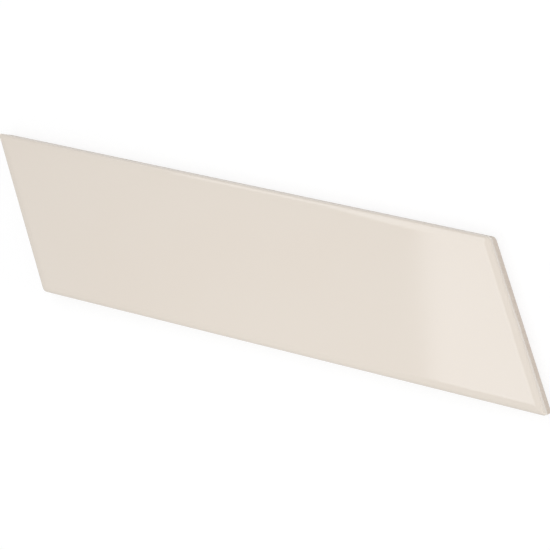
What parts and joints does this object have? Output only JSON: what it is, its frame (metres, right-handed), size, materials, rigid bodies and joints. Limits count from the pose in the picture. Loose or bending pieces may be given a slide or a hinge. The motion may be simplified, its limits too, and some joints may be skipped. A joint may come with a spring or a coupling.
{
  "type": "chevron wall tile",
  "caption": "Glazed ceramic wall tile, a long parallelogram with slanted ends, soft pillowed rims and a keyed back, laid in mirrored courses as a chevron.",
  "frame": {"origin": "middle of the outline, on the plane that the back's ribs and border rest on", "axes": "+X along the long edges, +Y across the tile, +Z out of the glazed face; the end at -X leans towards -X at +Y"},
  "size_m": [0.215, 0.052, 0.009],
  "materials": {
    "glazed_ceramic": "gloss, warm off-white glaze on the face and rims; the lower walls and the back are bare fired body"
  },
  "bodies": {
    "root": {"tile": "glazed_ceramic"}
  },
  "joints": []
}
